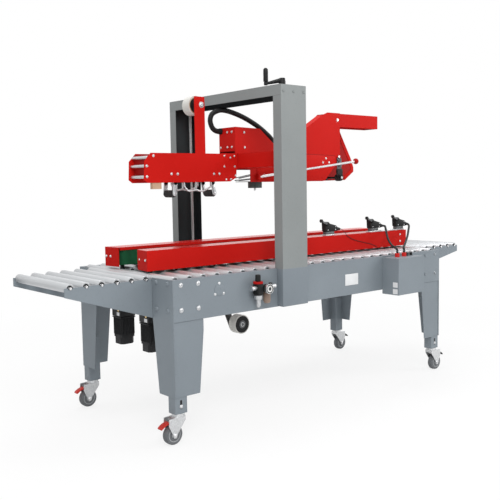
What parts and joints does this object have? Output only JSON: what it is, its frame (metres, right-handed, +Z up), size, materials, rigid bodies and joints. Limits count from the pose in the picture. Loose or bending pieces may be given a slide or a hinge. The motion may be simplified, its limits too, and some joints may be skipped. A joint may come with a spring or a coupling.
{
  "type": "carton sealing machine",
  "caption": "Carton sealer on casters: roller bed between roller tables, side belts, crank-raised head with flap kicker and ploughs, top and bottom tape cartridges.",
  "frame": {"origin": "on the floor under the middle of the outer box", "axes": "+X towards the infeed end, cartons run along -X; -Y is the operator's side with the crank and the control box; +Z up"},
  "size_m": [2.5908, 0.929, 1.5812],
  "materials": {
    "grey_paint": "satin",
    "red_paint": "gloss",
    "zinc": "satin",
    "steel": "satin",
    "belt_green": "matte",
    "black_plastic": "satin",
    "black_rubber": "matte",
    "grey_tyre": "matte",
    "cream_tape": "satin",
    "red_plastic": "satin"
  },
  "bodies": {
    "frame": {"air_unit": "black_plastic", "bed_rollers": "zinc", "bottom_cartridge": "steel", "column_back": "grey_paint", "column_front": "grey_paint", "control_box": "grey_paint", "infeed_table": "grey_paint", "leg_infeed_back": "grey_paint", "leg_infeed_front": "grey_paint", "leg_outfeed_back": "grey_paint", "leg_outfeed_front": "grey_paint", "outfeed_table": "grey_paint", "portal_beam": "grey_paint", "side_panel_back": "grey_paint", "side_panel_front": "grey_paint", "switch_hose_b": "black_plastic", "switch_hose_c": "black_plastic"},
    "head": {"head_frame": "red_paint", "carriage_front": "red_paint", "carriage_back": "red_paint", "plough_front": "zinc", "plough_back": "zinc", "infeed_roller": "black_rubber", "head_conduit": "black_plastic", "top_cartridge": "red_paint"},
    "crank_and_screw": {"crank": "black_plastic", "lead_screw_front": "zinc"},
    "crank_grip": {"crank_grip": "black_plastic"},
    "back_screw": {"lead_screw_back": "zinc"},
    "kicker": {"kicker_arm": "red_paint"},
    "top_roll": {"top_tape_roll": "cream_tape"},
    "bottom_roll": {"bottom_tape_roll": "cream_tape"},
    "top_arm_rear": {"top_arm_rear": "black_rubber"},
    "top_arm_lead": {"top_arm_lead": "black_rubber"},
    "bottom_arm_rear": {"bottom_arm_rear": "black_rubber"},
    "bottom_arm_lead": {"bottom_arm_lead": "black_rubber"},
    "side_drive_front": {"side_guard_front": "red_paint", "side_belt_front": "belt_green", "drive_motor_front": "black_plastic", "limit_switch_a": "black_plastic", "limit_switch_b": "black_plastic"},
    "side_drive_back": {"side_guard_back": "red_paint", "side_belt_back": "belt_green", "drive_motor_back": "black_plastic"},
    "lever_a": {"switch_lever_a": "black_plastic"},
    "lever_b": {"switch_lever_b": "black_plastic"},
    "lever_c": {"switch_lever_c": "black_plastic"},
    "knob": {"regulator_knob": "black_plastic"},
    "fork_outfeed_front": {"caster_fork_outfeed_front": "zinc"},
    "wheel_outfeed_front": {"caster_wheel_outfeed_front": "grey_tyre"},
    "pedal_outfeed_front": {"brake_pedal_outfeed_front": "red_plastic"},
    "fork_outfeed_back": {"caster_fork_outfeed_back": "zinc"},
    "wheel_outfeed_back": {"caster_wheel_outfeed_back": "grey_tyre"},
    "pedal_outfeed_back": {"brake_pedal_outfeed_back": "red_plastic"},
    "fork_infeed_front": {"caster_fork_infeed_front": "zinc"},
    "wheel_infeed_front": {"caster_wheel_infeed_front": "grey_tyre"},
    "pedal_infeed_front": {"brake_pedal_infeed_front": "black_plastic"},
    "fork_infeed_back": {"caster_fork_infeed_back": "zinc"},
    "wheel_infeed_back": {"caster_wheel_infeed_back": "grey_tyre"},
    "pedal_infeed_back": {"brake_pedal_infeed_back": "black_plastic"}
  },
  "joints": [
    {"name": "head_lift", "type": "slide", "parent": "frame", "child": "head", "axis": [0, 0, 1], "range_m": [-0.25, 0.01]},
    {"name": "crank_turn", "type": "hinge", "parent": "frame", "child": "crank_and_screw", "pos_m": [-0.251, -0.3245, 1.5], "axis": [0, 0, 1], "range_deg": [-190, 4510]},
    {"name": "back_screw_turn", "type": "hinge", "parent": "frame", "child": "back_screw", "pos_m": [-0.251, 0.3885, 1.5], "axis": [0, 0, 1], "range_deg": [-190, 4510]},
    {"name": "grip_turn", "type": "hinge", "parent": "crank_and_screw", "child": "crank_grip", "pos_m": [-0.32018, -0.29068, 1.5198], "axis": [0, 0, 1], "continuous": true},
    {"name": "kicker_fold", "type": "hinge", "parent": "head", "child": "kicker", "pos_m": [0.431, 0.032, 1.403], "axis": [0, 1, 0], "range_deg": [0, 60]},
    {"name": "top_roll_turn", "type": "hinge", "parent": "head", "child": "top_roll", "pos_m": [-0.491, 0.032, 1.432], "axis": [0, 1, 0], "continuous": true},
    {"name": "bottom_roll_turn", "type": "hinge", "parent": "frame", "child": "bottom_roll", "pos_m": [-0.235, 0.032, 0.365], "axis": [0, 1, 0], "continuous": true},
    {"name": "top_lead_swing", "type": "hinge", "parent": "head", "child": "top_arm_lead", "pos_m": [-0.392, 0.032, 1.115], "axis": [0, 1, 0], "range_deg": [0, 46], "stiffness_Nm_per_rad": 3},
    {"name": "top_rear_swing", "type": "hinge", "parent": "head", "child": "top_arm_rear", "pos_m": [-0.632, 0.032, 1.115], "axis": [0, 1, 0], "range_deg": [0, 46]},
    {"name": "bottom_lead_swing", "type": "hinge", "parent": "frame", "child": "bottom_arm_lead", "pos_m": [-0.392, 0.032, 0.637], "axis": [0, -1, 0], "range_deg": [0, 46], "stiffness_Nm_per_rad": 3, "springref_deg": -20.05},
    {"name": "bottom_rear_swing", "type": "hinge", "parent": "frame", "child": "bottom_arm_rear", "pos_m": [-0.632, 0.032, 0.637], "axis": [0, -1, 0], "range_deg": [0, 46]},
    {"name": "side_drive_front_slide", "type": "slide", "parent": "frame", "child": "side_drive_front", "axis": [0, -1, 0], "range_m": [0, 0.155], "deforming": ["switch_hose_b", "switch_hose_c"]},
    {"name": "side_drive_back_slide", "type": "slide", "parent": "frame", "child": "side_drive_back", "axis": [0, 1, 0], "range_m": [0, 0.155]},
    {"name": "lever_a_swing", "type": "hinge", "parent": "side_drive_front", "child": "lever_a", "pos_m": [0.23, -0.1409, 0.8484], "axis": [0, 1, 0], "range_deg": [-30, 30], "stiffness_Nm_per_rad": 0.05},
    {"name": "lever_b_swing", "type": "hinge", "parent": "side_drive_front", "child": "lever_b", "pos_m": [0.586, -0.1409, 0.8484], "axis": [0, 1, 0], "range_deg": [-30, 30], "stiffness_Nm_per_rad": 0.05},
    {"name": "lever_c_swing", "type": "hinge", "parent": "side_drive_front", "child": "lever_c", "pos_m": [0.808, -0.1409, 0.8484], "axis": [0, 1, 0], "range_deg": [-30, 30], "stiffness_Nm_per_rad": 0.05},
    {"name": "knob_turn", "type": "hinge", "parent": "frame", "child": "knob", "pos_m": [-0.472, -0.3915, 0.6404], "axis": [0, 0, 1], "continuous": true},
    {"name": "swivel_outfeed_front", "type": "hinge", "parent": "frame", "child": "fork_outfeed_front", "pos_m": [-0.868, -0.3306, 0.128], "axis": [0, 0, 1], "continuous": true},
    {"name": "roll_outfeed_front", "type": "hinge", "parent": "fork_outfeed_front", "child": "wheel_outfeed_front", "pos_m": [-0.898, -0.3306, 0.042], "axis": [0, 1, 0], "continuous": true},
    {"name": "brake_outfeed_front", "type": "hinge", "parent": "fork_outfeed_front", "child": "pedal_outfeed_front", "pos_m": [-0.92, -0.3306, 0.092], "axis": [0, -1, 0], "range_deg": [0, 15]},
    {"name": "swivel_outfeed_back", "type": "hinge", "parent": "frame", "child": "fork_outfeed_back", "pos_m": [-0.868, 0.3946, 0.128], "axis": [0, 0, 1], "continuous": true},
    {"name": "roll_outfeed_back", "type": "hinge", "parent": "fork_outfeed_back", "child": "wheel_outfeed_back", "pos_m": [-0.898, 0.3946, 0.042], "axis": [0, 1, 0], "continuous": true},
    {"name": "brake_outfeed_back", "type": "hinge", "parent": "fork_outfeed_back", "child": "pedal_outfeed_back", "pos_m": [-0.92, 0.3946, 0.092], "axis": [0, -1, 0], "range_deg": [0, 15]},
    {"name": "swivel_infeed_front", "type": "hinge", "parent": "frame", "child": "fork_infeed_front", "pos_m": [0.868, -0.3306, 0.128], "axis": [0, 0, 1], "continuous": true},
    {"name": "roll_infeed_front", "type": "hinge", "parent": "fork_infeed_front", "child": "wheel_infeed_front", "pos_m": [0.898, -0.3306, 0.042], "axis": [0, 1, 0], "continuous": true},
    {"name": "brake_infeed_front", "type": "hinge", "parent": "fork_infeed_front", "child": "pedal_infeed_front", "pos_m": [0.92, -0.3306, 0.092], "axis": [0, 1, 0], "range_deg": [0, 15]},
    {"name": "swivel_infeed_back", "type": "hinge", "parent": "frame", "child": "fork_infeed_back", "pos_m": [0.868, 0.3946, 0.128], "axis": [0, 0, 1], "continuous": true},
    {"name": "roll_infeed_back", "type": "hinge", "parent": "fork_infeed_back", "child": "wheel_infeed_back", "pos_m": [0.898, 0.3946, 0.042], "axis": [0, 1, 0], "continuous": true},
    {"name": "brake_infeed_back", "type": "hinge", "parent": "fork_infeed_back", "child": "pedal_infeed_back", "pos_m": [0.92, 0.3946, 0.092], "axis": [0, 1, 0], "range_deg": [0, 15]}
  ],
  "couplings": [
    {"joint": "crank_turn", "follows": "head_lift", "rad_per_m": -314.16},
    {"joint": "back_screw_turn", "follows": "head_lift", "rad_per_m": -314.16},
    {"joint": "top_rear_swing", "follows": "top_lead_swing", "ratio": 1},
    {"joint": "bottom_rear_swing", "follows": "bottom_lead_swing", "ratio": 1},
    {"joint": "side_drive_back_slide", "follows": "side_drive_front_slide", "ratio": 1}
  ]
}
